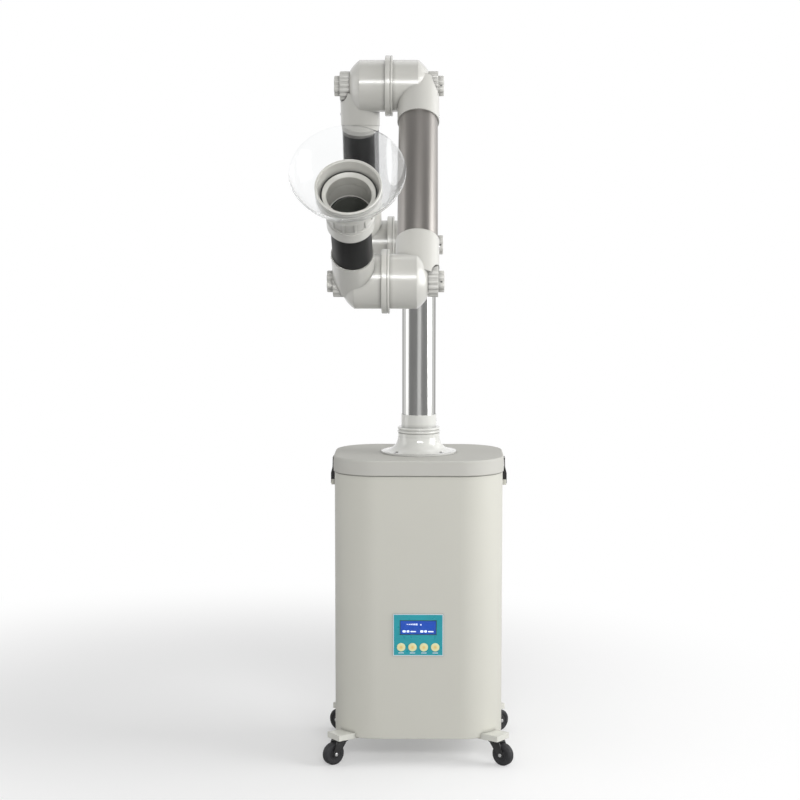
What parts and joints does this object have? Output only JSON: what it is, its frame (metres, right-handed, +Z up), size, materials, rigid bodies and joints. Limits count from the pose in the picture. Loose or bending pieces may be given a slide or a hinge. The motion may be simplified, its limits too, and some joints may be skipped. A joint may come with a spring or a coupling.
{
  "type": "extraoral dental suction unit",
  "caption": "Mobile extraoral dental suction unit: oval steel cabinet on casters with filters and blower inside, and a jointed suction arm ending in a clear bowl-shaped hood.",
  "frame": {"origin": "on the floor, under the axis of the upright column", "axes": "+Z up; -Y towards the user, the side with the control panel; +X to the user's right when facing the panel"},
  "size_m": [0.4453, 1.0141, 1.5594],
  "materials": {
    "body_paint": "warm light grey powder coat, satin",
    "frame_paint": "off-white powder coat",
    "sheet_metal": "plain sheet",
    "grey_plastic": "moulded, fine satin",
    "polished_tube": "polished, lightly brushed",
    "black_tube": "black anodised, glossy",
    "bronze_tube": "warm grey anodised, glossy",
    "black_plastic": "moulded",
    "tyre_rubber": "grey-black rubber",
    "gasket_rubber": "soft",
    "screw_steel": "zinc plated",
    "panel_film": "printed teal membrane",
    "screen_blue": "backlit blue window",
    "key_yellow": "pale yellow keys",
    "board_green": "circuit board",
    "motor_metal": "painted casting",
    "filter_paper": "pleated paper",
    "filter_carbon": "carbon grid",
    "filter_felt": "felt pad",
    "lamp_glass": "quartz tubes with caps",
    "hood_clear": "clear moulded bowl"
  },
  "bodies": {
    "cabinet": {"chassis_frame": "frame_paint", "cabinet_shell": "body_paint", "equipment_shelf": "sheet_metal", "exhaust_grille": "black_plastic", "power_inlet": "black_plastic", "control_panel": "panel_film", "display_screen": "screen_blue", "control_board": "board_green", "blower_housing": "sheet_metal", "motor": "motor_metal", "filter_box": "sheet_metal", "prefilter": "filter_felt", "hepa_filter": "filter_paper", "carbon_filter": "filter_carbon", "uv_lamps": "lamp_glass"},
    "rocker": {"rocker_switch": "black_plastic"},
    "blower_rotor": {"impeller": "black_plastic"},
    "latch_left": {"latch_left": "black_plastic"},
    "latch_right": {"latch_right": "black_plastic"},
    "lid": {"lid": "body_paint", "lid_gasket": "gasket_rubber", "column_flange": "grey_plastic", "flange_screws": "screw_steel", "latch_keepers": "screw_steel", "intake_duct": "sheet_metal"},
    "column": {"swivel_collar": "grey_plastic", "column_tube": "polished_tube", "shoulder_elbow_right": "grey_plastic"},
    "arm_a": {"shoulder_elbow_left": "grey_plastic", "shoulder_clamp_ring": "grey_plastic", "arm_tube_a": "black_tube", "upper_elbow_left": "grey_plastic"},
    "arm_b": {"upper_elbow_right": "grey_plastic", "upper_clamp_ring": "grey_plastic", "arm_tube_b": "bronze_tube", "wrist_elbow_right": "grey_plastic"},
    "arm_c": {"wrist_elbow_left": "grey_plastic", "wrist_clamp_ring": "grey_plastic", "arm_tube_c": "black_tube"},
    "union_nut": {"union_nut": "grey_plastic"},
    "hood": {"nozzle": "grey_plastic", "clear_hood": "hood_clear"},
    "key_1": {"button_1": "key_yellow"},
    "key_2": {"button_2": "key_yellow"},
    "key_3": {"button_3": "key_yellow"},
    "key_4": {"button_4": "key_yellow"},
    "caster_1": {"caster_fork_1": "black_plastic"},
    "wheel_1": {"caster_wheel_1": "tyre_rubber"},
    "caster_2": {"caster_fork_2": "black_plastic"},
    "wheel_2": {"caster_wheel_2": "tyre_rubber"},
    "caster_3": {"caster_fork_3": "black_plastic"},
    "wheel_3": {"caster_wheel_3": "tyre_rubber"},
    "caster_4": {"caster_fork_4": "black_plastic"},
    "wheel_4": {"caster_wheel_4": "tyre_rubber"},
    "shoulder_knob_right": {"shoulder_knob_right": "grey_plastic"},
    "shoulder_knob_left": {"shoulder_knob_left": "grey_plastic"},
    "upper_knob_right": {"upper_knob_right": "grey_plastic"},
    "upper_knob_left": {"upper_knob_left": "grey_plastic"},
    "wrist_knob_right": {"wrist_knob_right": "grey_plastic"},
    "wrist_knob_left": {"wrist_knob_left": "grey_plastic"}
  },
  "joints": [
    {"name": "key_1_press", "type": "slide", "parent": "cabinet", "child": "key_1", "axis": [0, 1, 0], "range_m": [0, 0.0008], "stiffness_N_per_m": 600, "springref_m": -0.0005},
    {"name": "key_2_press", "type": "slide", "parent": "cabinet", "child": "key_2", "axis": [0, 1, 0], "range_m": [0, 0.0008], "stiffness_N_per_m": 600, "springref_m": -0.0005},
    {"name": "key_3_press", "type": "slide", "parent": "cabinet", "child": "key_3", "axis": [0, 1, 0], "range_m": [0, 0.0008], "stiffness_N_per_m": 600, "springref_m": -0.0005},
    {"name": "key_4_press", "type": "slide", "parent": "cabinet", "child": "key_4", "axis": [0, 1, 0], "range_m": [0, 0.0008], "stiffness_N_per_m": 600, "springref_m": -0.0005},
    {"name": "rocker_tilt", "type": "hinge", "parent": "cabinet", "child": "rocker", "pos_m": [-0.0545, 0.142, 0.15], "axis": [1, 0, 0], "range_deg": [-18, 0]},
    {"name": "blower_spin", "type": "hinge", "parent": "cabinet", "child": "blower_rotor", "pos_m": [0, 0, 0.18], "axis": [0, 0, 1], "continuous": true},
    {"name": "caster_1_swivel", "type": "hinge", "parent": "cabinet", "child": "caster_1", "pos_m": [-0.175, -0.13, 0.055], "axis": [0, 0, 1], "continuous": true},
    {"name": "wheel_1_spin", "type": "hinge", "parent": "caster_1", "child": "wheel_1", "pos_m": [-0.18945, -0.14073, 0.025], "axis": [0.5963, -0.8027, 0], "continuous": true},
    {"name": "caster_2_swivel", "type": "hinge", "parent": "cabinet", "child": "caster_2", "pos_m": [0.175, -0.13, 0.055], "axis": [0, 0, 1], "continuous": true},
    {"name": "wheel_2_spin", "type": "hinge", "parent": "caster_2", "child": "wheel_2", "pos_m": [0.18945, -0.14073, 0.025], "axis": [0.5963, 0.8027, 0], "continuous": true},
    {"name": "caster_3_swivel", "type": "hinge", "parent": "cabinet", "child": "caster_3", "pos_m": [0.175, 0.13, 0.055], "axis": [0, 0, 1], "continuous": true},
    {"name": "wheel_3_spin", "type": "hinge", "parent": "caster_3", "child": "wheel_3", "pos_m": [0.18945, 0.14073, 0.025], "axis": [-0.5963, 0.8027, 0], "continuous": true},
    {"name": "caster_4_swivel", "type": "hinge", "parent": "cabinet", "child": "caster_4", "pos_m": [-0.175, 0.13, 0.055], "axis": [0, 0, 1], "continuous": true},
    {"name": "wheel_4_spin", "type": "hinge", "parent": "caster_4", "child": "wheel_4", "pos_m": [-0.18945, 0.14073, 0.025], "axis": [-0.5963, -0.8027, 0], "continuous": true},
    {"name": "lid_lift", "type": "slide", "parent": "cabinet", "child": "lid", "axis": [0, 0, 1], "range_m": [0, 0.06]},
    {"name": "latch_left_open", "type": "hinge", "parent": "cabinet", "child": "latch_left", "pos_m": [-0.1945, 0, 0.62], "axis": [0, -1, 0], "range_deg": [0, 100]},
    {"name": "latch_right_open", "type": "hinge", "parent": "cabinet", "child": "latch_right", "pos_m": [0.1945, 0, 0.62], "axis": [0, 1, 0], "range_deg": [0, 100]},
    {"name": "column_swivel", "type": "hinge", "parent": "lid", "child": "column", "pos_m": [0, 0, 0.74], "axis": [0, 0, 1], "continuous": true},
    {"name": "shoulder_tilt", "type": "hinge", "parent": "column", "child": "arm_a", "pos_m": [-0.0625, 0, 1.155], "axis": [1, 0, 0], "range_deg": [-30, 30]},
    {"name": "upper_tilt", "type": "hinge", "parent": "arm_a", "child": "arm_b", "pos_m": [-0.0625, -0.1965, 1.49535], "axis": [1, 0, 0], "range_deg": [-113, 7]},
    {"name": "wrist_tilt", "type": "hinge", "parent": "arm_b", "child": "arm_c", "pos_m": [-0.0625, -0.49921, 1.09363], "axis": [1, 0, 0], "range_deg": [-31, 79]},
    {"name": "shoulder_knob_right_turn", "type": "hinge", "parent": "column", "child": "shoulder_knob_right", "pos_m": [0.0375, 0, 1.155], "axis": [1, 0, 0], "range_deg": [0, 180]},
    {"name": "shoulder_knob_left_turn", "type": "hinge", "parent": "arm_a", "child": "shoulder_knob_left", "pos_m": [-0.1625, 0, 1.155], "axis": [1, 0, 0], "range_deg": [0, 180]},
    {"name": "upper_knob_right_turn", "type": "hinge", "parent": "arm_b", "child": "upper_knob_right", "pos_m": [0.0375, -0.1965, 1.49535], "axis": [1, 0, 0], "range_deg": [0, 180]},
    {"name": "upper_knob_left_turn", "type": "hinge", "parent": "arm_a", "child": "upper_knob_left", "pos_m": [-0.1625, -0.1965, 1.49535], "axis": [1, 0, 0], "range_deg": [0, 180]},
    {"name": "wrist_knob_right_turn", "type": "hinge", "parent": "arm_b", "child": "wrist_knob_right", "pos_m": [0.0375, -0.49921, 1.09363], "axis": [1, 0, 0], "range_deg": [0, 180]},
    {"name": "wrist_knob_left_turn", "type": "hinge", "parent": "arm_c", "child": "wrist_knob_left", "pos_m": [-0.1625, -0.49921, 1.09363], "axis": [1, 0, 0], "range_deg": [0, 180]},
    {"name": "union_nut_turn", "type": "hinge", "parent": "arm_c", "child": "union_nut", "pos_m": [-0.125, -0.69338, 1.2347], "axis": [0, -0.809, 0.5878], "range_deg": [0, 120]},
    {"name": "hood_turn", "type": "hinge", "parent": "arm_c", "child": "hood", "pos_m": [-0.125, -0.74192, 1.26997], "axis": [0, -0.809, 0.5878], "continuous": true}
  ],
  "couplings": [
    {"joint": "latch_left_open", "follows": "lid_lift", "rad_per_m": 29},
    {"joint": "latch_right_open", "follows": "lid_lift", "rad_per_m": 29}
  ]
}
